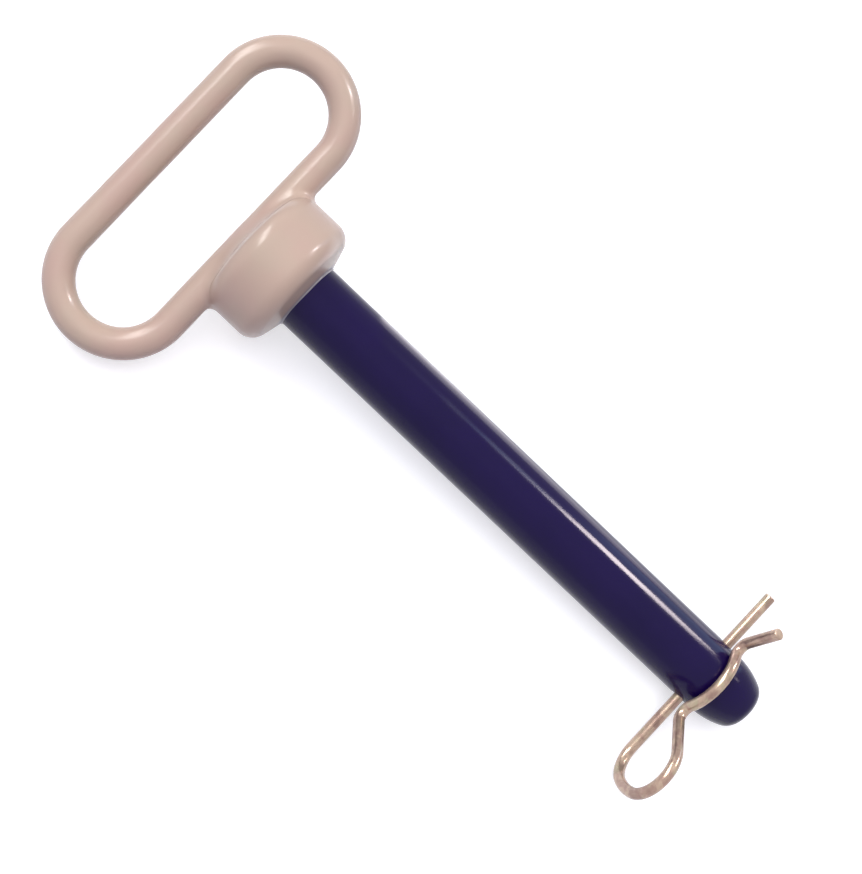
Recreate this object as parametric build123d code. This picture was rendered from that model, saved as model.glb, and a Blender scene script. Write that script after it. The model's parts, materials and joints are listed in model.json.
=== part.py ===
from build123d import *
import os
from math import acos, asin, atan2, cos, degrees, hypot, radians, sin, sqrt, tan

# Hitch pin, 7/8 in by 6 1/2 in, with a welded ring handle, a dipped grip and a hairpin clip.
#
# Row frame: the origin is on the shank's axis where the shank leaves the head. +X runs along
# the shank to its tip and +Z is up as the pin lies at rest. All sizes are in millimetres.
# The handle, the cross hole and the clip's straight leg share one plane through the shank's
# axis, the XY plane as drawn. rest_roll_angle then turns everything about the axis, until
# the clip's loop is as low as the surface that the head and the tip lie on.

# Shank
shank_d = 22.225         # 7/8 in
hole_x = 167.0           # from the head to the middle of the cross hole
hole_to_tip = 18.5
hole_d = 5.0
hole_chamfer = 0.5
taper_length = 22.0      # slight taper, from the tip back to the full diameter
taper_angle = 1.0
nose_shoulder_r = 25.0   # from the taper into the nose
nose_edge_r = 5.3        # from there into the flat end
nose_flat_d = 7.7

# Head: a round collar upset on the shank
head_d = 41.8
head_height = 21.0       # to its flat top
head_under_angle = 15.0  # slope of the underside
head_edge_r = 2.8        # lower edge
head_crown_r = 3.0       # upper edge
head_root_r = 1.2        # where the shank runs into the underside

# Handle: a round rod bent to a ring and welded across the top of the head
rod_d = 7.94             # 5/16 in
rod_seat = 0.9           # depth of the weld seat in the top of the head
ring_bend_r = 18.95      # to the middle of the rod
ring_length = 107.2      # over the two end bends, to the middle of the rod

# Grip: vinyl that the handle and the head are dipped in
grip_on_rod = 1.06
grip_on_head = 1.3
grip_under_head = 1.0
grip_lip = 0.3           # thickness at the edge on the shank
grip_edge_r = 4.2        # lower edge round the head
grip_shoulder_r = 3.8    # upper edge round the head
pool_height = 3.9        # vinyl pooled over the middle of the head's top
pool_rise = 3.4          # how far the pool's middle stands above its rim
grip_fillet_r = 2.6      # where the ring leaves the head

# Clip: hairpin bent from one wire
wire_d = 3.57            # 9/64 in
leg_end = 31.0           # shank axis to the cut end of the straight leg
leg_to_loop = 31.9       # shank axis to where the straight leg turns into the loop
loop_corner_r = 9.9
loop_side_r = 24.3       # flatter outer side of the loop
loop_side_angle = 24.0   # that the outer side turns through
hump_gap = 0.5           # wire to shank at the crown of the hump
hump_shift = 0.7         # the hump's middle lies this far towards the loop
waist_height = 8.1       # distance of the two legs at the waist by the loop
tail_waist_height = 7.6  # and at the waist by the flared end
waist_r = 3.8
flare_angle = 52.0
flare_length = 12.0
clip_lean_angle = 13.0   # swivelled this far towards the tip
leg_lift = 0.4           # the clip's grip draws its leg this far off the hole's middle

rest_roll_angle = 17.15

shank_r = shank_d / 2
head_r = head_d / 2
rod_r = rod_d / 2
wire_r = wire_d / 2
grip_rod_r = rod_r + grip_on_rod
grip_head_r = head_r + grip_on_head
tip_x = hole_x + hole_to_tip
bar_x = rod_seat - head_height - rod_r      # middle of the bar on the head
bar_half = ring_length / 2 - ring_bend_r    # half of a straight bar


def rolled(shape):
    """The shape in its pose at rest."""
    return Rot(X=rest_roll_angle) * shape


def round_corners(face, corners):
    """Rounds the corners of a flat face: each is a place in x and y, and a radius."""
    for x, y, radius in corners:
        corner = min(face.vertices(), key=lambda v: hypot(v.X - x, v.Y - y))
        face = fillet(corner, radius)
    return face


def underside_x(start_x, start_r, radius):
    """Place along the shank of the head's sloping underside, at a radius."""
    return start_x - (radius - start_r) * tan(radians(head_under_angle))


def turn_right(centre, radius, heading):
    """Point on a right-hand bend about centre where the wire runs along heading."""
    return (
        centre[0] - radius * sin(radians(heading)),
        centre[1] + radius * cos(radians(heading)),
    )


def turn_left(centre, radius, heading):
    """Point on a left-hand bend about centre where the wire runs along heading."""
    return turn_right(centre, -radius, heading)


def centre_right(point, radius, heading):
    """Centre of a right-hand bend that starts at point along heading."""
    return turn_left(point, radius, heading)


def bend(point_on, centre, radius, start, end):
    """Arc about centre between two headings. point_on is turn_right or turn_left."""
    middle = (start + end) / 2
    return ThreePointArc(
        point_on(centre, radius, start),
        point_on(centre, radius, middle),
        point_on(centre, radius, end),
    )


def stadium_ring(radius):
    """A round bar of the given radius along the whole ring of the handle."""
    near = bar_x
    far = bar_x - 2 * ring_bend_r
    middle = bar_x - ring_bend_r
    path = Wire(
        [
            Line((near, -bar_half), (near, bar_half)),
            ThreePointArc((near, bar_half), (middle, bar_half + ring_bend_r), (far, bar_half)),
            Line((far, bar_half), (far, -bar_half)),
            ThreePointArc((far, -bar_half), (middle, -bar_half - ring_bend_r), (near, -bar_half)),
        ]
    )
    section = Plane(origin=(near, 0, 0), z_dir=(0, 1, 0)) * Circle(radius)
    return sweep(section, path=path)


def make_rod():
    return rolled(stadium_ring(rod_r))


def nose_outline(taper_x):
    """Half outline of the end: the taper, two bends that touch each other, and the flat."""
    edge = (tip_x - nose_edge_r, nose_flat_d / 2)
    lead_in = radians(taper_angle)
    depth = (shank_r - edge[1]) * cos(lead_in) - (edge[0] - taper_x) * sin(lead_in)
    between = nose_shoulder_r - nose_edge_r
    join = -taper_angle - degrees(acos((nose_shoulder_r - depth) / between))
    shoulder = turn_left(edge, between, join)
    return [
        Line((taper_x, shank_r), turn_right(shoulder, nose_shoulder_r, -taper_angle)),
        bend(turn_right, shoulder, nose_shoulder_r, -taper_angle, join),
        bend(turn_right, edge, nose_edge_r, join, -90),
        Line(turn_right(edge, nose_edge_r, -90), (tip_x, 0)),
    ]


def make_pin():
    edge_x = underside_x(-grip_under_head, shank_r, head_r)
    taper_x = tip_x - taper_length
    outline = Polyline(
        (tip_x, 0),
        (-head_height, 0),
        (-head_height, head_r),
        (edge_x, head_r),
        (-grip_under_head, shank_r),
        (taper_x, shank_r),
    )
    face = round_corners(
        make_face([outline, *nose_outline(taper_x)]),
        [
            (-head_height, head_r, head_crown_r),
            (edge_x, head_r, head_edge_r),
            (-grip_under_head, shank_r, head_root_r),
        ],
    )
    body = Rot(X=90) * revolve(face, Axis.X, 360)
    hole_r = hole_d / 2
    body -= Pos(X=hole_x) * Rot(X=90) * Cylinder(hole_r, 3 * shank_d)
    mouth = Cone(hole_r, hole_r + shank_r, shank_r, align=(Align.CENTER, Align.CENTER, Align.MIN))
    for turn in (90, -90):
        body -= Pos(X=hole_x) * Rot(X=turn) * Pos(Z=shank_r - hole_chamfer) * mouth
    return rolled(body - stadium_ring(rod_r))


def make_grip(pin, rod):
    top_x = -head_height - pool_height
    rim_x = top_x + pool_rise
    lip_r = shank_r + grip_lip
    edge_x = underside_x(0, lip_r, grip_head_r)
    dome_r = (grip_head_r**2 + pool_rise**2) / (2 * pool_rise)
    half_way = asin(grip_head_r / dome_r) / 2
    dome_mid = (top_x + dome_r * (1 - cos(half_way)), dome_r * sin(half_way))
    outline = [
        ThreePointArc((top_x, 0), dome_mid, (rim_x, grip_head_r)),
        Polyline((rim_x, grip_head_r), (edge_x, grip_head_r), (0, lip_r), (0, 0), (top_x, 0)),
    ]
    face = round_corners(
        make_face(outline),
        [(edge_x, grip_head_r, grip_edge_r), (rim_x, grip_head_r, grip_shoulder_r)],
    )
    head = Rot(X=90) * revolve(face, Axis.X, 360)
    ring = stadium_ring(grip_rod_r)
    skin = head + ring
    seams = skin.edges().filter_by(GeomType.BSPLINE)
    skin = rolled(fillet(seams, grip_fillet_r))
    return skin - pin - rod


def beside_hump(hump, hump_r, height, side):
    """Centre of a waist that touches the hump, and the wire's slope where they meet."""
    up = height + waist_r - hump[1]
    out = sqrt((hump_r + waist_r) ** 2 - up**2)
    return (hump[0] + side * out, height + waist_r), degrees(atan2(out, up))


def clip_path():
    """Middle of the clip's wire in its own plane.

    The straight leg lies on the first axis with the shank's axis at 0, and the curved leg
    stands off it along the second axis. Headings are in degrees from the first axis.
    """
    # Loop: two corner bends with a flatter one between them
    side_start = 90 + loop_side_angle / 2
    side_end = 90 - loop_side_angle / 2
    corner_1 = (-leg_to_loop, loop_corner_r)
    start_of_side = turn_right(corner_1, loop_corner_r, side_start)
    side = centre_right(start_of_side, loop_side_r, side_start)
    end_of_side = turn_right(side, loop_side_r, side_end)
    corner_2 = centre_right(end_of_side, loop_corner_r, side_end)

    # Hump over the shank, with a waist on either side that bends the other way
    hump_r = (shank_r + wire_r + hump_gap) / cos(radians(clip_lean_angle))
    hump = (-hump_shift, -leg_lift)
    waist_1, hump_start = beside_hump(hump, hump_r, waist_height, -1)
    waist_2, hump_end = beside_hump(hump, hump_r, tail_waist_height, 1)

    # Straight run from the loop down to the first waist, touching both bends
    span = (waist_1[0] - corner_2[0], waist_1[1] - corner_2[1])
    run = degrees(atan2(span[1], span[0]))
    run -= degrees(asin((loop_corner_r + waist_r) / hypot(*span)))

    flare_start = turn_left(waist_2, waist_r, flare_angle)
    flare_end = (
        flare_start[0] + flare_length * cos(radians(flare_angle)),
        flare_start[1] + flare_length * sin(radians(flare_angle)),
    )
    return [
        Line((leg_end, 0), (-leg_to_loop, 0)),
        bend(turn_right, corner_1, loop_corner_r, 180, side_start),
        bend(turn_right, side, loop_side_r, side_start, side_end),
        bend(turn_right, corner_2, loop_corner_r, side_end, run),
        Line(turn_right(corner_2, loop_corner_r, run), turn_left(waist_1, waist_r, run)),
        bend(turn_left, waist_1, waist_r, run, hump_start),
        bend(turn_right, hump, hump_r, hump_start, -hump_end),
        bend(turn_left, waist_2, waist_r, -hump_end, flare_angle),
        Line(flare_start, flare_end),
    ]


def make_clip():
    lean = radians(clip_lean_angle)
    away = Vector(sin(lean), 0, cos(lean))
    plane = Plane(
        origin=Vector(hole_x, 0, 0) + away * leg_lift,
        x_dir=(0, 1, 0),
        z_dir=(cos(lean), 0, -sin(lean)),
    )
    path = Wire([plane * piece for piece in clip_path()])
    section = Plane(origin=path @ 0, z_dir=path % 0) * Circle(wire_r)
    return rolled(sweep(section, path=path))


pin = make_pin()
handle_rod = make_rod()
parts = {
    "pin": pin,
    "handle_rod": handle_rod,
    "grip_coating": make_grip(pin, handle_rod),
    "hairpin_clip": make_clip(),
}

os.makedirs("parts", exist_ok=True)
for name, solid in parts.items():
    solid.label = name
    export_step(solid, f"parts/{name}.step")
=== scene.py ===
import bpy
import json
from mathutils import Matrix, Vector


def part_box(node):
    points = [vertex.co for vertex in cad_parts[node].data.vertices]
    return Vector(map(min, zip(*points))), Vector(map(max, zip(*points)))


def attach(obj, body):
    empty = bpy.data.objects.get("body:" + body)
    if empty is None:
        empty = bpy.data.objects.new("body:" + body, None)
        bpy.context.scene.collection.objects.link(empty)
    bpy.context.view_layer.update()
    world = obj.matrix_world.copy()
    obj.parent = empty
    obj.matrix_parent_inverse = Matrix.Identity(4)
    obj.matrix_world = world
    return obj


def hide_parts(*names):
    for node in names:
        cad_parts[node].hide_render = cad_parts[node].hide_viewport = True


bl_info = {
    "name": "Hitch pin",
    "version": (1, 0, 0),
    "blender": (4, 5, 0),
    "location": "3D View > Sidebar > Hitch pin",
    "description": "Painted hitch pin with a dipped ring handle and a hairpin clip",
    "category": "Add Mesh",
}

import json
from functools import partial
from math import acos, asin, atan, atan2, ceil, cos, pi, radians, sin, sqrt, tan

import bmesh
import bpy
import numpy as np
from bpy.props import FloatProperty, FloatVectorProperty, PointerProperty
from bpy.types import Operator, Panel, PropertyGroup
from mathutils import Matrix, Vector

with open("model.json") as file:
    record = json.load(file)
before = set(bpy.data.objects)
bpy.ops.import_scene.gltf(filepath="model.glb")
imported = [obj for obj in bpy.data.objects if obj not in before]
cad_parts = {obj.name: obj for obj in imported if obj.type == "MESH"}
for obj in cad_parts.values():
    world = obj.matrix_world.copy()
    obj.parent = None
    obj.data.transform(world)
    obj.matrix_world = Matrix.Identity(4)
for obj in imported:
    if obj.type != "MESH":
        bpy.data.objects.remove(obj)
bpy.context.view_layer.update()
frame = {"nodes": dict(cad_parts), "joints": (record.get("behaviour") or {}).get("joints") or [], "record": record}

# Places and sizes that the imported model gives, in metres. The row frame has +X along the
# shank to its tip, and the handle and the clip are rolled about that axis.
MM = 0.001
shank_mount = frame["record"]["mounts"][0]
shank_radius = shank_mount["dims"]["r_mm"] * MM
pin_low, pin_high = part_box("pin")
grip_low, grip_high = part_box("grip_coating")
pull = Vector(frame["joints"][0]["axis"])
roll = atan2(-pull.z, -pull.y)


# ----------------------
# Sizes and colours


def length(name, description, default):
    """A size in metres, shown in the scene's own unit."""
    return FloatProperty(
        name=name,
        description=description,
        default=default,
        subtype="DISTANCE",
        unit="LENGTH",
        precision=5,
    )


def angle(name, description, default):
    """An angle, given in degrees and held in radians."""
    return FloatProperty(
        name=name, description=description, default=radians(default), subtype="ANGLE"
    )


def colour(name, description, default):
    """A linear colour, with no part above 1."""
    return FloatVectorProperty(
        name=name,
        description=description,
        default=default,
        subtype="COLOR",
        size=3,
        min=0,
        max=1,
    )


def number(name, description, default):
    """A radiance, in watts a square metre and steradian."""
    return FloatProperty(name=name, description=description, default=default, precision=4)


def lamp_way(name, description, default):
    """Way to a lamp: along the shank, across it, and back to the camera."""
    return FloatVectorProperty(name=name, description=description, default=default, precision=3)


def lamp_size(name, default):
    """Angular width and height of a lamp as seen from the pin, in degrees."""
    return FloatVectorProperty(name=name, default=default, size=2, precision=1)


def lamp_tint(name, default):
    """Linear colour of a lamp. It may be brighter than 1."""
    return FloatVectorProperty(name=name, default=default, min=0)


class PinSizes(PropertyGroup):
    shank: length("Shank", "Radius of the plain shank", shank_radius)
    tip: length("Tip", "Where the pin's flat end is", pin_high.x)
    taper_length: length("Taper", "Slight taper, from the tip to the full radius", 22.0 * MM)
    taper: angle("Taper slope", "Slope of the slight taper", 1.0)
    shoulder: length("Nose shoulder", "Rounding from the taper into the nose", 25.0 * MM)
    edge: length("Nose edge", "Rounding from the nose into the flat end", 5.3 * MM)
    flat: length("Flat end", "Radius of the flat end", 3.85 * MM)
    hole: length("Cross hole", "Radius of the cross hole", 2.5 * MM)
    hole_place: length("Cross hole place", "From the head to the cross hole", 167.0 * MM)
    hole_lip: length("Hole lip", "Softened edge of the hole under the paint", 0.5 * MM)
    head: length("Head", "Radius of the steel head", pin_high.z)
    head_top: length("Head top", "Where the head's flat top is", pin_low.x)
    head_slope: angle("Head underside", "Slope of the head's underside", 15.0)
    head_crown: length("Head crown", "Rounding of the head's upper edge", 3.0 * MM)
    head_edge: length("Head edge", "Rounding of the head's lower edge", 2.8 * MM)
    root: length("Head root", "Hollow where the shank runs into the head", 1.2 * MM)
    under: length("Vinyl under the head", "Thickness of vinyl under the head", 1.0 * MM)


class GripSizes(PropertyGroup):
    head: length("Head", "Radius of the coated head", grip_high.z)
    bar: length("Bar", "Radius of the coated rod", 5.03 * MM)
    bend: length("Bend", "Radius of the ring's end bends, to the rod's middle", 18.95 * MM)
    far: length("Far side", "Outermost side of the ring", grip_low.x)
    top: length("Pool top", "Middle of the vinyl pooled over the head", -24.9 * MM)
    rise: length("Pool rise", "Height of the pool's middle above its rim", 3.4 * MM)
    slope: angle("Underside", "Slope of the coated underside", 15.0)
    lip: length("Lip", "Thickness of the vinyl where it ends on the shank", 0.3 * MM)
    bead: length("Bead", "Radius of the rolled edge on the shank", 0.4 * MM)
    wander: length("Edge wander", "How far that edge wanders along the shank", 0.12 * MM)
    shoulder: length("Shoulder", "Rounding of the head's upper edge", 3.8 * MM)
    edge: length("Edge", "Rounding of the head's lower edge", 4.2 * MM)
    fillet: length("Fillet", "Hollow where the ring leaves the head", 2.6 * MM)
    pool: length("Pool", "How much wider the hollow is over the head's middle", 2.4 * MM)
    pool_width: length("Pool width", "Half of the width over which the hollow is wider", 12.0 * MM)
    cell: length("Cell", "Size of a face of the skin", 0.52 * MM)
    uneven: length("Unevenness", "How much the thickness of the dip wanders", 0.05 * MM)


class ClipSizes(PropertyGroup):
    wire: length("Wire", "Radius of the wire", 1.785 * MM)
    girth: length("Girth", "Way round the wire that its drawn lines are laid out on", 11.0 * MM)
    end: length("Leg end", "Shank axis to the cut end of the straight leg", 31.0 * MM)
    back: length("Leg back", "Shank axis to the start of the loop", 31.9 * MM)
    corner: length("Loop corner", "Radius of the loop's two corners", 9.9 * MM)
    side: length("Loop side", "Radius of the loop's flatter outer side", 24.3 * MM)
    side_turn: angle("Side turn", "Angle that the outer side turns through", 24.0)
    hump_gap: length("Hump gap", "Wire to shank at the crown of the hump", 0.5 * MM)
    hump_shift: length("Hump shift", "Hump's middle, towards the loop", 0.7 * MM)
    loop_waist: length("Waist by the loop", "Distance of the two legs at the waist", 8.1 * MM)
    tail_waist: length("Waist by the flare", "Distance of the two legs at the waist", 7.6 * MM)
    waist: length("Waist bend", "Radius of the bends beside the hump", 3.8 * MM)
    flare_angle: angle("Flare angle", "Slope of the flared end", 52.0)
    flare: length("Flare", "Length of the flared end", 12.0 * MM)
    lean: angle("Lean", "Swivel of the clip towards the tip", 13.0)
    lift: length("Lift", "Leg's distance from the middle of the hole", 0.4 * MM)
    cut: length("Cut edge", "Softened edge of the cut ends", 0.3 * MM)


class Finishes(PropertyGroup):
    paint: colour("Paint", "Gloss navy paint", (0.0085, 0.0018, 0.0580))
    paint_flow: colour("Paint flow", "Paint that ran a little thicker", (0.0070, 0.0016, 0.0500))
    vinyl: colour("Vinyl", "Dipped vinyl", (0.590, 0.450, 0.368))
    vinyl_rose: colour("Vinyl, rose", "Warmer cloud in the vinyl", (0.592, 0.418, 0.358))
    vinyl_sand: colour("Vinyl, sand", "Yellower cloud in the vinyl", (0.572, 0.462, 0.370))
    vinyl_lip: colour("Vinyl lip", "Thin edge of the dip, over the paint", (0.30, 0.31, 0.37))
    gold: colour("Gold", "Yellow zinc on the wire", (0.57, 0.425, 0.320))
    rose: colour("Rose", "Redder film on the zinc", (0.40, 0.255, 0.210))
    tarnish: colour("Tarnish", "Dull brown film on the zinc", (0.22, 0.130, 0.115))
    olive: colour("Olive", "Greener film on the zinc", (0.48, 0.440, 0.29))
    cut: colour("Cut steel", "Bare steel of the cut ends", (0.85, 0.80, 0.68))
    steel: colour("Rod steel", "Bare rod under the vinyl", (0.36, 0.35, 0.34))
    scale: colour("Mill scale", "Dark scale in clouds on the rod", (0.16, 0.16, 0.17))
    floor: colour("Floor", "Plain pale floor", (0.62, 0.64, 0.68))


WARM = (1.0, 0.96, 0.94)
COOL = (0.6, 0.95, 1.4)


class StageSizes(PropertyGroup):
    distance: length("Camera distance", "Camera to the plane through the shank", 0.4567)
    along: length("Aim along", "Where the camera aims, along the shank", 0.0566)
    across: length("Aim across", "Where the camera aims, off the shank", -0.0052)
    pitch: angle("Pitch", "The tip lies this much further from the camera", 3.2)
    lean: angle("Lean", "The camera leans to the clip's loop, off straight above", 19.4)
    turn: angle("Turn", "The shank runs this far below the picture's right", 43.4)
    view: angle("Field of view", "Across the picture", 32.06)
    lamp_distance: length("Lamp distance", "Shank's middle to each lamp", 3.0)
    key: lamp_way("Key", "Side softbox that draws the streak on the shank", (0.258, 0.89, 0.39))
    key_size: lamp_size("Key size", (7.2, 13.5))
    key_light: number("Key light", "Radiance of the side softbox", 56.0)
    key_tint: lamp_tint("Key tint", (1.0, 0.88, 0.88))
    glow: lamp_way("Glow", "Dim cool end of the key", (0.145, 0.90, 0.41))
    glow_size: lamp_size("Glow size", (5.5, 13.0))
    glow_light: number("Glow light", "Radiance of the dim end", 2.6)
    glow_tint: lamp_tint("Glow tint", COOL)
    spot: lamp_way("Spot", "Small lamp beside the key", (0.47, 0.75, 0.44))
    spot_size: lamp_size("Spot size", (6.0, 7.0))
    spot_light: number("Spot light", "Radiance of the small lamp", 8.0)
    spot_tint: lamp_tint("Spot tint", (1.0, 0.90, 0.90))
    top: lamp_way("Top", "Long softbox above the handle", (-0.72, 0.30, 0.62))
    top_size: lamp_size("Top size", (17.0, 50.0))
    top_light: number("Top light", "Radiance of the long softbox", 4.5)
    top_tint: lamp_tint("Top tint", (0.94, 1.0, 0.98))
    core: lamp_way("Core", "Bright middle of the long softbox", (-0.70, 0.31, 0.64))
    core_size: lamp_size("Core size", (13.0, 44.0))
    core_light: number("Core light", "Radiance of the bright middle", 12.0)
    core_tint: lamp_tint("Core tint", WARM)
    card: lamp_way("Card", "Cool reflector low beside the shank", (0.30, 0.95, -0.02))
    card_size: lamp_size("Card size", (13.0, 30.0))
    card_light: number("Card light", "Radiance of the cool reflector", 1.6)
    card_tint: lamp_tint("Card tint", COOL)
    fill: lamp_way("Fill", "Wide soft lamp on the camera's side", (-0.05, 0.28, 0.96))
    fill_size: lamp_size("Fill size", (50.0, 50.0))
    fill_light: number("Fill light", "Radiance of the wide lamp", 3.0)
    fill_tint: lamp_tint("Fill tint", WARM)
    side: lamp_way("Side", "Soft light round the key", (0.33, 0.84, 0.43))
    side_size: lamp_size("Side size", (36.0, 32.0))
    side_light: number("Side light", "Radiance of the soft light round the key", 1.5)
    side_tint: lamp_tint("Side tint", (1.0, 1.0, 0.72))
    rim_start: length("Rim card start", "From the shank's axis to the card beside it", 32.0 * MM)
    rim_lift: length("Rim card lift", "Height of its inner side above the floor", 3.0 * MM)
    rim_middle: length("Rim card middle", "Its middle, along the shank", 0.11)
    rim_length: length("Rim card length", "Length of the card, along the shank", 0.18)
    rim_width: length("Rim card width", "Width of the card beside the shank", 110.0 * MM)
    rim_tilt: angle("Rim card tilt", "How far its outer side is raised", 14.0)
    rim_light: number("Rim card light", "Radiance of the card beside the shank", 1.8)
    rim_tint: lamp_tint("Rim card tint", (1.0, 0.92, 0.96))
    sky: number("Sky", "Radiance of the sky", 0.16)
    sky_tint: colour("Sky tint", "Colour of the sky's light", (0.66, 0.50, 1.00))
    white: number("White", "What the floor adds where it is seen", 0.60)
    floor_half: length("Floor", "Half of the floor's side", 2.0)


class HitchPinSettings(PropertyGroup):
    pin: PointerProperty(type=PinSizes)
    grip: PointerProperty(type=GripSizes)
    clip: PointerProperty(type=ClipSizes)
    finish: PointerProperty(type=Finishes)
    stage: PointerProperty(type=StageSizes)


# ----------------------
# Outlines and surfaces


def bow(centre, radius, start, end, count):
    """Points on a circle: the centre plus the radius times cosine and sine of the angle."""
    turn = np.linspace(start, end, count)
    return np.stack([centre[0] + radius * np.cos(turn), centre[1] + radius * np.sin(turn)], 1)


def run(start, end, count):
    """Points spaced evenly from start to end."""
    share = np.linspace(0, 1, count)[:, None]
    return (1 - share) * np.array(start) + share * np.array(end)


def rounded(corners, count=14):
    """Outline through the corners, each (place, place, radius) replaced by a tangent arc.

    The arc starts and ends radius times the tangent of half the turn away from its corner.
    """
    places = np.array([corner[:2] for corner in corners])
    pieces = [places[:1]]
    for before, here, after, corner in zip(places, places[1:], places[2:], corners[1:]):
        arrive = (here - before) / np.linalg.norm(here - before)
        leave = (after - here) / np.linalg.norm(after - here)
        across = arrive[0] * leave[1] - arrive[1] * leave[0]
        turn = atan2(across, arrive @ leave)
        side = np.sign(turn)
        touch = here - arrive * corner[2] * tan(abs(turn) / 2)
        centre = touch + side * corner[2] * np.array([-arrive[1], arrive[0]])
        first = atan2(*(touch - centre)[::-1])
        pieces.append(bow(centre, corner[2], first, first + turn, count))
    pieces.append(places[-1:])
    return np.concatenate(pieces)


def filled_in(outline, step):
    """The outline with more points along its longer runs, none further apart than step."""
    pieces = []
    for start, end in zip(outline, outline[1:]):
        count = max(1, ceil(np.linalg.norm(end - start) / step))
        pieces.append(run(start, end, count + 1)[:-1])
    return np.concatenate([*pieces, outline[-1:]])


def revolved(outline, around):
    """Surface of revolution: (x, radius cos t, radius sin t) for each outline point and t."""
    turn = np.arange(around) / around * 2 * pi
    x = np.repeat(outline[:, :1], around, 1)
    return np.stack([x, outline[:, 1:] * np.cos(turn), outline[:, 1:] * np.sin(turn)], 2)


def tube(path, tangent, radius, normal, around=32):
    """Circles along a flat path: path + radius (cos t side + sin t normal), side across it."""
    turn = np.arange(around) / around * 2 * pi
    side = np.cross(normal, tangent)
    ring = np.cos(turn)[None, :, None] * side[:, None] + np.sin(turn)[:, None] * normal
    return path[:, None] + np.reshape(radius, (-1, 1, 1)) * ring


def lattice(rows, columns, wrap_rows=False, wrap_columns=False, first=0):
    """Quads of a grid of points, as indices. Wrapping joins its last row or column to the first."""
    i = np.arange(rows if wrap_rows else rows - 1)
    j = np.arange(columns if wrap_columns else columns - 1)
    i, j = np.meshgrid(i, j, indexing="ij")
    up, on = (i + 1) % rows, (j + 1) % columns
    quads = np.stack([i * columns + j, i * columns + on, up * columns + on, up * columns + j], -1)
    return quads.reshape(-1, 4) + first


def rolled(points):
    """The points turned about the shank's axis by the roll that the pin rests at."""
    turn = np.array(Matrix.Rotation(roll, 3, "X"))
    return points @ turn.T


def mesh_values(items, name, width, kind=float):
    """One attribute of a mesh's vertices, edges or faces, as rows of this width."""
    values = np.zeros(len(items) * width, kind)
    items.foreach_get(name, values)
    return values.reshape(-1, width)


def make_object(name, points, faces, mark=None):
    """A new smooth object from points and faces, with doubles merged and normals outwards.

    mark is called with the mesh before doubles are merged, to write on its faces.
    """
    mesh = bpy.data.meshes.new(name)
    mesh.from_pydata(points.reshape(-1, 3).tolist(), [], faces.tolist())
    if mark:
        mark(mesh)
    shell = bmesh.new()
    shell.from_mesh(mesh)
    bmesh.ops.remove_doubles(shell, verts=shell.verts, dist=0.002 * MM)
    bmesh.ops.dissolve_degenerate(shell, edges=shell.edges, dist=0.001 * MM)
    bmesh.ops.recalc_face_normals(shell, faces=shell.faces)
    shell.to_mesh(mesh)
    shell.free()
    mesh.shade_smooth()
    piece = bpy.data.objects.new(name, mesh)
    bpy.context.scene.collection.objects.link(piece)
    return piece


def put_on(piece, material):
    """Makes the material the piece's only one."""
    piece.data.materials.clear()
    piece.data.materials.append(material)


# ----------------------
# Shader maths


class Value:
    """A number on a socket. Arithmetic on it adds Math nodes."""

    def __init__(self, shader, socket):
        self.shader = shader
        self.socket = socket

    def math(self, operation, *values):
        made = self.shader.node("ShaderNodeMath", {"operation": operation}, *values)
        return made.value()

    def __add__(self, other):
        return self.math("ADD", self, other)

    def __radd__(self, other):
        return self.math("ADD", other, self)

    def __rsub__(self, other):
        return self.math("SUBTRACT", other, self)

    def __mul__(self, other):
        return self.math("MULTIPLY", self, other)

    def __rmul__(self, other):
        return self.math("MULTIPLY", other, self)

    def above(self, low, high):
        """0 below low and 1 above high, with a smooth step between."""
        ramp = {"interpolation_type": "SMOOTHSTEP"}
        return self.shader.node("ShaderNodeMapRange", ramp, self, low, high, 0, 1).value()


class Made:
    """A node just made, whose outputs are read by name or place."""

    def __init__(self, shader, node):
        self.shader = shader
        self.node = node

    def value(self, output=0):
        return Value(self.shader, self.node.outputs[output])


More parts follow.
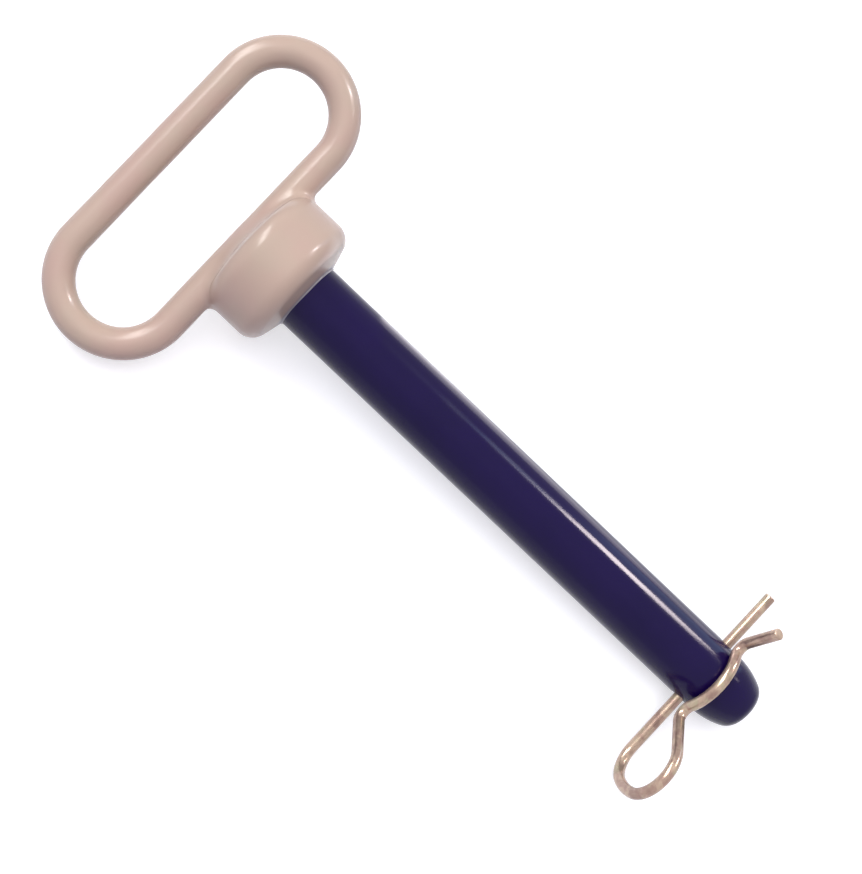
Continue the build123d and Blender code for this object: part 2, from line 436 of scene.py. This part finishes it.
class Shader:
    """The nodes of one material or world."""

    def __init__(self, owner):
        self.owner = owner
        owner.use_nodes = True
        self.nodes = owner.node_tree.nodes
        self.links = owner.node_tree.links
        self.nodes.clear()

    def node(self, kind, settings=None, *places, **names):
        """A node of this kind: its settings first, then its inputs by place and by name."""
        node = self.nodes.new(kind)
        for key, value in (settings or {}).items():
            setattr(node, key, value)
        for key, value in [*enumerate(places), *names.items()]:
            socket = node.inputs[key if isinstance(key, int) else key.replace("_", " ")]
            if isinstance(value, Value):
                self.links.new(value.socket, socket)
            elif value is not None:
                socket.default_value = value
        return Made(self, node)

    def object_place(self):
        """The point on the surface, in the object's own metres."""
        return self.node("ShaderNodeTexCoord").value("Object")

    def stretched(self, place, scale):
        """The place with its three axes scaled."""
        return self.node("ShaderNodeMapping", None, place, Scale=scale).value()

    def noise(self, place, scale, detail=3.0, roughness=0.5, distortion=0.0):
        """Cloudy noise between 0 and 1 at this many waves a metre."""
        return self.node(
            "ShaderNodeTexNoise",
            None,
            Vector=place,
            Scale=scale,
            Detail=detail,
            Roughness=roughness,
            Distortion=distortion,
        ).value(0)

    def mixed(self, share, first, second):
        """Colour between first and second."""
        node = self.node("ShaderNodeMix", {"data_type": "RGBA"}, share)
        for place, shade in ((6, first), (7, second)):
            socket = node.node.inputs[place]
            if isinstance(shade, Value):
                self.links.new(shade.socket, socket)
            else:
                socket.default_value = (*shade, 1)
        return node.value(2)

    def bump(self, height, depth, under=None):
        """Normal of a relief whose height of 1 stands for this depth in metres."""
        relief = self.node("ShaderNodeBump", None, Height=height, Distance=depth, Normal=under)
        return relief.value()

    def finish(self, **inputs):
        """Ends the material in a Principled surface with these inputs."""
        surface = self.node("ShaderNodeBsdfPrincipled", None, **inputs).value()
        self.node("ShaderNodeOutputMaterial", None, surface)
        return self.owner

    def seen(self):
        """1 where the camera, a reflection or a view through glass shows this, otherwise 0."""
        rays = self.node("ShaderNodeLightPath")
        glass = rays.value("Is Transmission Ray")
        return rays.value("Is Camera Ray") + rays.value("Is Glossy Ray") + glass


def painted_navy(finish):
    """Gloss enamel over a drawn bar: a fine orange peel on slow waves along the bar."""
    s = Shader(bpy.data.materials.new("navy_paint"))
    place = s.object_place()
    peel = s.noise(place, 900, 2.0, 0.45)
    waves = s.noise(s.stretched(place, (0.35, 1, 1)), 130, 2.0, 0.5)
    flow = s.noise(place, 60, 4.0, 0.55).above(0.35, 0.7)
    dust = s.noise(place, 5200, 1.0, 0.5).above(0.70, 0.82)
    normal = s.bump(peel, 0.004 * MM, s.bump(waves, 0.045 * MM))
    return s.finish(
        Base_Color=s.mixed(flow, finish.paint, finish.paint_flow),
        Roughness=0.125 + 0.05 * flow + 0.05 * dust,
        Normal=normal,
        IOR=1.28,
    )


def dipped_vinyl(finish):
    """Soft vinyl from a dip tank: clouds of slightly different beige and a skin like wax."""
    s = Shader(bpy.data.materials.new("dipped_vinyl"))
    place = s.object_place()
    warm = s.noise(place, 38, 3.0, 0.55, 0.4).above(0.42, 0.62)
    sandy = s.noise(s.stretched(place, (1, 0.6, 1)), 62, 3.0, 0.5).above(0.45, 0.68)
    cloudy = s.mixed(0.6 * warm, finish.vinyl, finish.vinyl_rose)
    shade = s.mixed(0.7 * sandy, cloudy, finish.vinyl_sand)
    skin = s.noise(place, 620, 2.0, 0.5)
    waves = s.noise(place, 150, 2.0, 0.5)
    thin = s.node("ShaderNodeSeparateXYZ", None, place).value("X").above(-0.7 * MM, 0.0)
    normal = s.bump(skin, 0.005 * MM, s.bump(waves, 0.04 * MM))
    return s.finish(
        Base_Color=s.mixed(0.8 * thin, shade, finish.vinyl_lip),
        Roughness=0.20 + 0.04 * skin + 0.025 * warm,
        Normal=normal,
        IOR=1.34,
    )


def zinc_wire(finish):
    """Yellow zinc on drawn wire: gold with rose, olive and dull films, and lines along it."""
    s = Shader(bpy.data.materials.new("yellow_zinc_wire"))
    place = s.object_place()
    wire = s.node("ShaderNodeUVMap", {"uv_map": "wire"}).value()
    rose = s.noise(place, 210, 3.0, 0.6, 0.6).above(0.42, 0.62)
    olive = s.noise(s.stretched(place, (1.3, 1, 1.2)), 170, 3.0, 0.6).above(0.50, 0.66)
    tarnish = s.noise(place, 120, 3.0, 0.6, 0.8).above(0.46, 0.66)
    lines = s.noise(s.stretched(wire, (60, 900, 1)), 1, 3.0, 0.65)
    pits = s.noise(place, 2600, 2.0, 0.6).above(0.62, 0.74)
    film = s.mixed(0.7 * olive, s.mixed(0.8 * rose, finish.gold, finish.rose), finish.olive)
    film = s.mixed(0.5 * tarnish, film, finish.tarnish)
    normal = s.bump(lines, 0.010 * MM, s.bump(1 - pits, 0.006 * MM))
    return s.finish(
        Base_Color=s.mixed(0.25 * pits, film, finish.rose),
        Metallic=0.5,
        Roughness=0.17 + 0.06 * lines + 0.04 * pits,
        Normal=normal,
    )


def cut_steel(finish):
    """Sheared end of the wire: a bright band above a torn, darker one."""
    s = Shader(bpy.data.materials.new("cut_steel"))
    place = s.object_place()
    torn = s.noise(s.stretched(place, (1, 1, 0.4)), 2400, 4.0, 0.7)
    return s.finish(
        Base_Color=s.mixed(torn.above(0.4, 0.7), finish.cut, finish.gold),
        Metallic=1.0,
        Roughness=0.38 + 0.2 * torn,
        Normal=s.bump(torn, 0.05 * MM),
    )


def rod_steel(finish):
    """Hot-rolled rod as it is before the dip, with mill scale in clouds."""
    s = Shader(bpy.data.materials.new("rod_steel"))
    place = s.object_place()
    scale = s.noise(place, 140, 4.0, 0.6)
    return s.finish(
        Base_Color=s.mixed(scale.above(0.4, 0.65), finish.steel, finish.scale),
        Metallic=1.0,
        Roughness=0.42 + 0.2 * scale,
        Normal=s.bump(scale, 0.03 * MM),
    )


def pale_floor(finish, white):
    """Matt floor that is whiter where the camera or a reflection sees it."""
    s = Shader(bpy.data.materials.new("floor"))
    matt = s.node("ShaderNodeBsdfDiffuse", None, (*finish.floor, 1)).value()
    glow = s.node("ShaderNodeEmission", None, (1, 1, 1, 1), s.seen() * white).value()
    surface = s.node("ShaderNodeAddShader", None, matt, glow).value()
    s.node("ShaderNodeOutputMaterial", None, surface)
    return s.owner


# ----------------------
# Painted pin


def shank_at(pin, x):
    """The shank's radius at x: its own up to the taper, then less by the taper's slope."""
    return pin.shank - np.maximum(0, x - (pin.tip - pin.taper_length)) * tan(pin.taper)


def nose_outline(pin, arc=40):
    """The nose's two arcs and the flat end, as (x, radius) towards the tip.

    The edge's centre is one edge radius in from the end. The shoulder's centre lies the
    difference of the two radii from it and one shoulder radius under the taper.
    """
    taper_start = np.array([pin.tip - pin.taper_length, pin.shank])
    along = np.array([cos(pin.taper), -sin(pin.taper)])
    inward = np.array([-sin(pin.taper), -cos(pin.taper)])
    edge = np.array([pin.tip - pin.edge, pin.flat])
    between = pin.shoulder - pin.edge
    above = pin.shoulder - (edge - taper_start) @ inward
    turn = acos(above / between)
    shoulder = edge - between * (sin(turn) * along - cos(turn) * inward)
    level = pi / 2 - pin.taper
    return np.concatenate(
        [
            bow(shoulder, pin.shoulder, level, level - turn, arc),
            bow(edge, pin.edge, level - turn, 0, arc)[1:],
            run((pin.tip, pin.flat), (pin.tip, 0), 5)[1:],
        ]
    )


def mouth(pin, half, cells, side, across=9, lip_steps=5, bore_steps=5):
    """Rings from a square window in the shank in to the hole's mouth and on to its middle.

    A ring is a share of the way, across the shank, from the window's border to the circle of
    the hole's lip. Each point is then lifted to the height of the round shank there. The lip
    is a quarter circle, and the bore is straight.
    """
    edge = np.linspace(-1, 1, 2 * cells + 1)[:-1]
    one = np.ones_like(edge)
    sides = ((edge, -one), (one, edge), (-edge, one), (-one, -edge))
    x_border, z_border = half * np.concatenate([np.stack(pair, 1) for pair in sides]).T
    radius = shank_at(pin, pin.hole_place + x_border)
    z_border = radius * np.sin(z_border / pin.shank)
    turn = np.arctan2(z_border, x_border)

    share = np.linspace(0, 1, across)[:, None]
    lip = pin.hole + pin.hole_lip
    x = (1 - share) * x_border + share * lip * np.cos(turn)
    z = (1 - share) * z_border + share * lip * np.sin(turn)

    round_in = np.linspace(0, pi / 2, lip_steps + 1)[1:, None]
    reach = pin.hole + pin.hole_lip * (1 - np.sin(round_in))
    sunk = pin.hole_lip * (1 - np.cos(round_in)) * np.ones_like(turn)
    depth = np.concatenate([np.zeros_like(x), sunk])
    x = np.concatenate([x, reach * np.cos(turn)])
    z = np.concatenate([z, reach * np.sin(turn)])
    y = np.sqrt(shank_at(pin, pin.hole_place + x) ** 2 - z**2) - depth

    bore = np.linspace(1, 0, bore_steps + 1)[1:, None]
    x = np.concatenate([x, np.repeat(x[-1:], bore_steps, 0)])
    z = np.concatenate([z, np.repeat(z[-1:], bore_steps, 0)])
    y = np.concatenate([y, bore * y[-1:]])
    return np.stack([pin.hole_place + x, side * y, z], 2)


def pin_surface(pin, around=192, cells=10):
    """The revolved outline with a window at each end of the hole, filled by a mouth.

    around is the number of faces in a turn. A window is 2 cells by 2 cells of those faces.
    """
    half = cells * 2 * pi * pin.shank / around
    underside = -pin.under - (pin.head - pin.shank) * tan(pin.head_slope)
    outline = rounded(
        [
            (pin.head_top, 0, 0),
            (pin.head_top, pin.head, pin.head_crown),
            (underside, pin.head, pin.head_edge),
            (-pin.under, pin.shank, pin.root),
            (pin.hole_place - half, pin.shank, 0),
        ]
    )
    before = filled_in(outline, 4 * MM)
    window_x = pin.hole_place + np.linspace(-half, half, 2 * cells + 1)
    window = np.stack([window_x, shank_at(pin, window_x)], 1)
    nose = nose_outline(pin)
    after = filled_in(np.stack([window[-1], nose[0]]), 2 * MM)
    profile = np.concatenate([before[:-1], window, after[1:-1], nose])

    points = revolved(profile, around)
    quads = lattice(len(profile), around, wrap_columns=True)
    row, column = np.divmod(np.arange(len(quads)), around)
    start = len(before) - 1
    along_window = (row >= start) & (row < start + 2 * cells)
    round_window = (column + cells) % (around // 2) < 2 * cells

    all_points = [points.reshape(-1, 3)]
    all_quads = [quads[~(along_window & round_window)]]
    for side in (1, -1):
        rings = mouth(pin, half, cells, side)
        first = sum(len(made) for made in all_points)
        all_quads.append(lattice(*rings.shape[:2], wrap_columns=True, first=first))
        all_points.append(rings.reshape(-1, 3))
    return np.concatenate(all_points), np.concatenate(all_quads)


class HITCHPIN_OT_pin(Operator):
    """Builds the painted shank, head and cross hole"""

    bl_idname = "hitchpin.pin"
    bl_label = "Painted pin"

    def execute(self, context):
        settings = context.scene.hitch_pin
        points, quads = pin_surface(settings.pin)
        piece = make_object("painted_pin", rolled(points), quads)
        put_on(piece, painted_navy(settings.finish))
        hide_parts("pin")
        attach(piece, "pin_and_handle")
        return {"FINISHED"}


# ----------------------
# Dipped grip


def round_corner(a, b, radius):
    """Distance to what lies inside both shapes, with the edge between them rounded."""
    outside = np.hypot(np.maximum(a + radius, 0), np.maximum(b + radius, 0))
    return np.minimum(-radius, np.maximum(a, b)) + outside


def hollow_joint(a, b, radius):
    """Distance to what lies inside either shape, with a hollow of the radius between them."""
    inside = np.hypot(np.maximum(radius - a, 0), np.maximum(radius - b, 0))
    return np.maximum(radius, np.minimum(a, b)) - inside


def swell(points):
    """Slow wander of the dip's thickness between -1 and 1: a few crossed sine waves."""
    x, y, z = points.T / MM
    long_waves = np.sin(x / 9.1 + 1.3 * np.sin(y / 13.0)) * np.cos(y / 10.3 + z / 7.7 + 0.6)
    short_waves = np.sin(x / 4.3 - y / 5.9 + 2.1) * np.cos(z / 4.7 + y / 8.3)
    return 0.7 * long_waves + 0.3 * short_waves


def ring_line(grip):
    """Where the ring's middle line is: its place along the shank and half its straight run."""
    middle = grip.far + grip.bar + grip.bend
    half = (grip_high.y - grip.bar) / cos(roll) - grip.bend
    return middle, half


def skin_distance(points, grip):
    """Signed distance from the coated handle and head to points, before the roll.

    The ring is a round bar about a stadium line. The head is what lies inside a wide dome,
    a cylinder and a sloping underside, with rounded edges. A hollow joins the two, and it
    widens over the head's middle by a bell curve across the ring.
    """
    x, y, z = points.T
    middle, half = ring_line(grip)
    past = np.maximum(np.abs(y) - half, 0)
    off_line = np.hypot(x - middle, past) - grip.bend
    ring = np.hypot(off_line, z) - grip.bar

    radius = np.hypot(y, z)
    dome_radius = (grip.head**2 + grip.rise**2) / (2 * grip.rise)
    dome = np.hypot(x - grip.top - dome_radius, radius) - dome_radius
    wall = radius - grip.head
    under = x * cos(grip.slope) + (radius - shank_radius - grip.lip) * sin(grip.slope)
    head = round_corner(round_corner(dome, wall, grip.shoulder), under, grip.edge)
    fillet = grip.fillet + grip.pool * np.exp(-((y / grip.pool_width) ** 2))
    return hollow_joint(ring, head, fillet) - grip.uneven * (swell(points) - 1)


def onto_skin(points, grip, rounds):
    """Moves points onto the skin: each step is the distance times the slope's direction.

    The slope is the difference of the distances a small step to either side. Where it nearly
    vanishes, inside a crossing of surfaces, its square is taken as the least value.
    """
    step = 0.02 * MM
    least = 0.25
    for _ in range(rounds):
        ahead, behind = (
            [skin_distance(points + way * axis, grip) for axis in np.eye(3)]
            for way in (step, -step)
        )
        slope = (np.stack(ahead, 1) - np.stack(behind, 1)) / (2 * step)
        size = np.maximum((slope**2).sum(1), least)
        points = points - (skin_distance(points, grip) / size)[:, None] * slope
    return points


def evened(points, edges, rounds):
    """Moves each point half way to the mean of its neighbours, this many times."""
    ends = np.concatenate([edges, edges[:, ::-1]])
    count = np.bincount(ends[:, 0], minlength=len(points))[:, None]
    for _ in range(rounds):
        total = np.stack(
            [np.bincount(ends[:, 0], points[ends[:, 1], k], len(points)) for k in range(3)], 1
        )
        points = 0.5 * points + 0.5 * total / count
    return points


def rough_skin(grip, arc=60, around=96):
    """Even faces over the ring and the head: their two closed surfaces, remeshed as one."""
    middle, half = ring_line(grip)
    right = bow((middle, half), grip.bend, 0, pi, arc)
    left = bow((middle, -half), grip.bend, pi, 2 * pi, arc)
    line = np.concatenate([right, left])
    path = np.insert(line, 2, 0, axis=1)
    ahead = np.roll(path, -1, 0) - np.roll(path, 1, 0)
    tangent = ahead / np.linalg.norm(ahead, axis=1)[:, None]
    ring = tube(path, tangent, np.full(len(path), grip.bar), np.array([0, 0, 1.0]))

    lip = shank_radius + grip.lip
    past_lip = 0.5 * MM
    outline = rounded(
        [
            (grip.top, 0, 0),
            (grip.top + 0.4 * grip.rise, grip.head, grip.shoulder),
            ((lip - grip.head) * tan(grip.slope), grip.head, grip.edge),
            (past_lip, 0.8 * lip, 0),
            (past_lip, 0, 0),
        ]
    )
    head = revolved(filled_in(outline, 2 * MM), around)
    faces = [
        lattice(*ring.shape[:2], wrap_rows=True, wrap_columns=True),
        lattice(*head.shape[:2], wrap_columns=True, first=ring.shape[0] * ring.shape[1]),
    ]
    points = np.concatenate([ring.reshape(-1, 3), head.reshape(-1, 3)])
    rough = make_object("rough_skin", points, np.concatenate(faces))
    remesh = rough.modifiers.new("Remesh", "REMESH")
    remesh.mode = "VOXEL"
    remesh.voxel_size = grip.cell
    made = rough.evaluated_get(bpy.context.evaluated_depsgraph_get()).to_mesh()
    points = mesh_values(made.vertices, "co", 3)
    edges = mesh_values(made.edges, "vertices", 2, int)
    faces = mesh_values(made.polygons, "vertices", 4, int)
    bpy.data.objects.remove(rough)
    return points, edges, faces


def bead_surface(grip, around=180, across=16):
    """The dip's rolled edge: a small ring round the shank, wandering a little along it."""
    turn = np.arange(around) / around * 2 * pi
    wander = grip.wander * (np.sin(2 * turn + 0.7) + 0.5 * np.sin(5 * turn))
    roll_over = np.arange(across) / across * 2 * pi
    x = wander[:, None] - 0.2 * grip.bead + grip.bead * np.cos(roll_over)
    radius = shank_radius + grip.bead * np.sin(roll_over) * np.ones_like(x)
    points = np.stack([x, radius * np.cos(turn)[:, None], radius * np.sin(turn)[:, None]], 2)
    return points.reshape(-1, 3), lattice(around, across, wrap_rows=True, wrap_columns=True)


class HITCHPIN_OT_grip(Operator):
    """Builds the vinyl skin over the ring handle and the head"""

    bl_idname = "hitchpin.grip"
    bl_label = "Dipped grip"

    def execute(self, context):
        settings = context.scene.hitch_pin
        grip = settings.grip
        points, edges, faces = rough_skin(grip)
        points = onto_skin(evened(points, edges, 2), grip, 4)
        for _ in range(3):
            points = onto_skin(evened(points, edges, 3), grip, 2)
        bead, bead_faces = bead_surface(grip)
        faces = np.concatenate([faces, bead_faces + len(points)])
        points = np.concatenate([points, bead])
        piece = make_object("dipped_grip", rolled(points), faces)
        put_on(piece, dipped_vinyl(settings.finish))
        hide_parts("grip_coating")
        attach(piece, "pin_and_handle")
        return {"FINISHED"}


class HITCHPIN_OT_rod(Operator):
    """Gives the handle's steel rod, inside the vinyl, its finish"""

    bl_idname = "hitchpin.rod"
    bl_label = "Handle rod"

    def execute(self, context):
        put_on(frame["nodes"]["handle_rod"], rod_steel(context.scene.hitch_pin.finish))
        return {"FINISHED"}


# ----------------------
# Hairpin clip


class WirePath:
    """A flat path of straight runs and bends, each going on along the last one's heading."""

    def __init__(self, start, heading):
        self.here = np.array(start, float)
        self.heading = heading
        self.places = [self.here[None]]
        self.headings = [np.array([heading])]

    def straight(self, distance, step=1.2 * MM):
        """Goes the distance along the heading."""
        count = max(2, ceil(distance / step))
        ahead = np.array([cos(self.heading), sin(self.heading)])
        self.extend(run(self.here, self.here + distance * ahead, count + 1)[1:], self.heading)

    def bend(self, radius, turn, step=0.3 * MM):
        """Turns left by the angle, or right if it is negative, on a circle of the radius."""
        side = np.sign(turn)
        out = self.heading - side * pi / 2
        centre = self.here - radius * np.array([cos(out), sin(out)])
        count = max(6, ceil(radius * abs(turn) / step))
        steps = np.linspace(0, 1, count + 1)[1:]
        places = bow(centre, radius, out, out + turn, count + 1)[1:]
        self.extend(places, self.heading + steps * turn)

    def extend(self, places, headings):
        """Adds places with their headings and goes on from the last."""
        self.places.append(places)
        self.headings.append(np.broadcast_to(headings, len(places)))
        self.here = places[-1]
        self.heading = float(self.headings[-1][-1])

    def line(self):
        """All places and the heading at each."""
        return np.concatenate(self.places), np.concatenate(self.headings)


def beside_hump(clip, hump, hump_radius, height, side):
    """Centre of the waist that touches the hump, and the wire's slope where they meet."""
    up = height + clip.waist - hump[1]
    out = sqrt((hump_radius + clip.waist) ** 2 - up**2)
    return hump + np.array([side * out, up]), atan2(out, up)


def clip_line(clip):
    """The wire's middle in the clip's plane, and its heading: leg, loop, waist, hump, flare.

    The hump's centre is near the shank's axis. Each waist's centre lies the sum of the two
    radii from it. The run from the loop is the line that touches the corner and the waist.
    """
    hump_radius = (shank_radius + clip.wire + clip.hump_gap) / cos(clip.lean)
    hump = np.array([-clip.hump_shift, -clip.lift])
    first_waist, hump_start = beside_hump(clip, hump, hump_radius, clip.loop_waist, -1)
    hump_end = -beside_hump(clip, hump, hump_radius, clip.tail_waist, 1)[1]

    path = WirePath((clip.end, 0), pi)
    path.straight(clip.end + clip.back)
    path.bend(clip.corner, -(pi / 2 - clip.side_turn / 2))
    path.bend(clip.side, -clip.side_turn)
    centre = path.here + clip.corner * np.array([sin(path.heading), -cos(path.heading)])
    span = first_waist - centre
    across = np.linalg.norm(span)
    heading = atan2(span[1], span[0]) - asin((clip.corner + clip.waist) / across)
    path.bend(clip.corner, heading - path.heading)
    path.straight(sqrt(across**2 - (clip.corner + clip.waist) ** 2))
    path.bend(clip.waist, hump_start - heading)
    path.bend(hump_radius, hump_end - hump_start)
    path.bend(clip.waist, clip.flare_angle - hump_end)
    path.straight(clip.flare)
    return path.line()


def clip_surface(clip, hole_place, steps=6):
    """The tube along the wire's line, with softened cut ends, and each ring's place along it.

    At an end the radius shrinks by a quarter circle over the last bit of wire, and then to 0.
    """
    line, heading = clip_line(clip)
    ahead = np.stack([np.cos(heading), np.sin(heading)], 1)
    turn = np.linspace(0, pi / 2, steps)
    to_end = (clip.cut * (1 - np.sin(turn)))[:, None]
    narrow = clip.wire - clip.cut * (1 - np.cos(turn))
    first = line[0] + ahead[0] * to_end[::-1]
    last = line[-1] - ahead[-1] * to_end
    flat = np.concatenate([line[:1], first, line[1:-1], last, line[-1:]])
    plain = np.full(len(line) - 2, clip.wire)
    radius = np.concatenate([[0], narrow[::-1], plain, narrow, [0]])
    repeats = np.ones(len(line), int)
    repeats[[0, -1]] = steps + 1
    ahead = np.repeat(ahead, repeats, 0)

    away = np.array([sin(clip.lean), 0, cos(clip.lean)])
    plane = np.array([[0, 1.0, 0], away])
    path = np.array([hole_place, 0, 0]) + clip.lift * away + flat @ plane
    points = tube(path, ahead @ plane, radius, np.cross(*plane))
    lengths = np.linalg.norm(np.diff(flat, axis=0), axis=1)
    return points, np.concatenate([[0], np.cumsum(lengths)])


def mark_wire(mesh, rows, columns, along, girth):
    """Writes the wire's UV map, the way along it and round it in metres, and its cut ends."""
    row, column = np.divmod(np.arange((rows - 1) * columns), columns)
    corner_rows = np.stack([row, row, row + 1, row + 1], 1)
    corner_columns = np.stack([column, column + 1, column + 1, column], 1)
    uv = np.stack([along[corner_rows], corner_columns / columns * girth], -1)
    mesh.uv_layers.new(name="wire").data.foreach_set("uv", uv.ravel())
    ends = (row == 0) | (row == rows - 2)
    mesh.polygons.foreach_set("material_index", ends.astype(np.int32))


class HITCHPIN_OT_clip(Operator):
    """Builds the hairpin clip through the cross hole"""

    bl_idname = "hitchpin.clip"
    bl_label = "Hairpin clip"

    def execute(self, context):
        settings = context.scene.hitch_pin
        clip = settings.clip
        points, along = clip_surface(clip, settings.pin.hole_place)
        size = points.shape[:2]
        faces = lattice(*size, wrap_columns=True)
        mark = partial(mark_wire, rows=size[0], columns=size[1], along=along, girth=clip.girth)
        piece = make_object("hairpin_wire", rolled(points), faces, mark)
        put_on(piece, zinc_wire(settings.finish))
        piece.data.materials.append(cut_steel(settings.finish))
        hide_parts("hairpin_clip")
        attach(piece, "clip")
        return {"FINISHED"}


# ----------------------
# Stage


def view_rows(stage):
    """Unit vectors of the view: along the shank, across it, and back to the camera.

    They are the row frame's axes rolled by the lean and then pitched.
    """
    return np.array(Matrix.Rotation(stage.pitch, 3, "Y") @ Matrix.Rotation(-stage.lean, 3, "X"))


def resting_plane(steepest=0.15, tries=601):
    """Slope and height of the floor: of all lines under the pin, the highest at its middle."""
    shapes = [mesh_values(node.data.vertices, "co", 3) for node in frame["nodes"].values()]
    x, _, z = np.concatenate(shapes).T
    middle = (pin_low.x + pin_high.x) / 2
    slopes = np.linspace(-steepest, steepest, tries)
    heights = np.array([(z - slope * x).min() for slope in slopes])
    best = np.argmax(heights + slopes * middle)
    return slopes[best], heights[best]


def area_lamp(name, width, height, radiance, tint, place):
    """A rectangular lamp. Its power is pi times its radiance times its area."""
    lamp = bpy.data.lights.new(name, "AREA")
    lamp.shape = "RECTANGLE"
    lamp.size = width
    lamp.size_y = height
    lamp.energy = radiance * width * height * pi
    lamp.color = tint
    holder = bpy.data.objects.new(name, lamp)
    holder.matrix_world = place
    bpy.context.scene.collection.objects.link(holder)
    return holder


def add_floor(settings):
    """A square floor that the pin lies on, tilted along the shank as the pin rests."""
    slope, height = resting_plane()
    corners = np.array([[-1, -1], [1, -1], [1, 1], [-1, 1]]) * settings.stage.floor_half
    x = corners[:, 0] * cos(atan(slope))
    points = np.stack([x, corners[:, 1], height + slope * x], 1)
    mesh = bpy.data.meshes.new("floor")
    mesh.from_pydata(points.tolist(), [], [(0, 1, 2, 3)])
    floor = bpy.data.objects.new("floor", mesh)
    bpy.context.scene.collection.objects.link(floor)
    put_on(floor, pale_floor(settings.finish, settings.stage.white))


def add_camera(stage):
    """The camera aims at the shank's middle, with the shank turned in the picture."""
    along, across, back = view_rows(stage)
    right = cos(stage.turn) * along + sin(stage.turn) * across
    up = cos(stage.turn) * across - sin(stage.turn) * along
    aim = np.array([stage.along, 0, 0]) + stage.across * across
    place = Matrix.Translation(aim + stage.distance * back)
    lens = bpy.data.cameras.new("camera")
    lens.sensor_fit = "HORIZONTAL"
    lens.angle = stage.view
    lens.clip_start = 0.01
    camera = bpy.data.objects.new("camera", lens)
    camera.matrix_world = place @ Matrix(np.stack([right, up, back], 1)).to_4x4()
    bpy.context.scene.collection.objects.link(camera)
    bpy.context.scene.camera = camera


def add_lamps(stage):
    """The lamps stand round the shank's middle, and their ways are given in the view's rows.

    A lamp's sides are twice its distance times the tangent of half their angles, and its
    height points to the camera's side. Some lamps only show in gloss, and some only light
    what is matt.
    """
    rows = Matrix(view_rows(stage).T)
    target = Vector((stage.along, 0, 0))
    only_glossy = ("key", "glow", "spot", "core")
    only_matt = ("fill", "side")
    for name in ("key", "glow", "spot", "top", "core", "card", "fill", "side"):
        way = (rows @ Vector(getattr(stage, name))).normalized()
        side = rows.col[2].cross(way).normalized()
        turn = Matrix((side, way.cross(side), way)).transposed().to_4x4()
        place = Matrix.Translation(target + way * stage.lamp_distance) @ turn
        angles = getattr(stage, name + "_size")
        reach = 2 * stage.lamp_distance
        width, height = (reach * tan(radians(degrees) / 2) for degrees in angles)
        light, tint = getattr(stage, name + "_light"), getattr(stage, name + "_tint")
        lamp = area_lamp(name, width, height, light, tint, place)
        lamp.visible_diffuse = name not in only_glossy
        lamp.visible_glossy = name not in only_matt


def add_rim_card(stage):
    """A low card along the shank that only reflections show. It brightens the shank's edge."""
    _, height = resting_plane()
    out = stage.rim_start + cos(stage.rim_tilt) * stage.rim_width / 2
    up = height + stage.rim_lift + sin(stage.rim_tilt) * stage.rim_width / 2
    facing_up = Matrix.Rotation(stage.rim_tilt, 4, "X") @ Matrix.Rotation(pi, 4, "X")
    place = Matrix.Translation((stage.rim_middle, out, up)) @ facing_up
    sides = stage.rim_length, stage.rim_width
    card = area_lamp("rim_card", *sides, stage.rim_light, stage.rim_tint, place)
    card.visible_camera = False
    card.visible_diffuse = False
    card.visible_transmission = False


def add_world(stage):
    """An even sky that is white where it is seen."""
    world = bpy.data.worlds.new("studio")
    bpy.context.scene.world = world
    s = Shader(world)
    sky = s.node("ShaderNodeBackground", None, (*stage.sky_tint, 1), stage.sky).value()
    white = s.node("ShaderNodeBackground", None, (1, 1, 1, 1), 1.0).value()
    either = s.node("ShaderNodeMixShader", None, s.seen(), sky, white).value()
    s.node("ShaderNodeOutputWorld", None, either)


class HITCHPIN_OT_stage(Operator):
    """Builds the floor, the lamps, the sky and the camera"""

    bl_idname = "hitchpin.stage"
    bl_label = "Stage"

    def execute(self, context):
        settings = context.scene.hitch_pin
        add_floor(settings)
        add_camera(settings.stage)
        add_lamps(settings.stage)
        add_rim_card(settings.stage)
        add_world(settings.stage)
        context.scene.view_settings.view_transform = "Standard"
        return {"FINISHED"}


# ----------------------
# Panel and registration


class HITCHPIN_PT_build(Panel):
    """Lists the pieces of the hitch pin"""

    bl_idname = "HITCHPIN_PT_build"
    bl_label = "Hitch pin"
    bl_space_type = "VIEW_3D"
    bl_region_type = "UI"
    bl_category = "Hitch pin"

    def draw(self, context):
        for builder in builders:
            self.layout.operator(builder.bl_idname)


builders = (
    HITCHPIN_OT_pin,
    HITCHPIN_OT_grip,
    HITCHPIN_OT_rod,
    HITCHPIN_OT_clip,
    HITCHPIN_OT_stage,
)
groups = (PinSizes, GripSizes, ClipSizes, Finishes, StageSizes, HitchPinSettings)


def register():
    for made in (*groups, *builders, HITCHPIN_PT_build):
        bpy.utils.register_class(made)
    bpy.types.Scene.hitch_pin = PointerProperty(type=HitchPinSettings)


def unregister():
    del bpy.types.Scene.hitch_pin
    for made in reversed((*groups, *builders, HITCHPIN_PT_build)):
        bpy.utils.unregister_class(made)


def main():
    register()
    bpy.ops.hitchpin.pin()
    bpy.ops.hitchpin.grip()
    bpy.ops.hitchpin.rod()
    bpy.ops.hitchpin.clip()
    bpy.ops.hitchpin.stage()


if __name__ == "__main__":
    main()
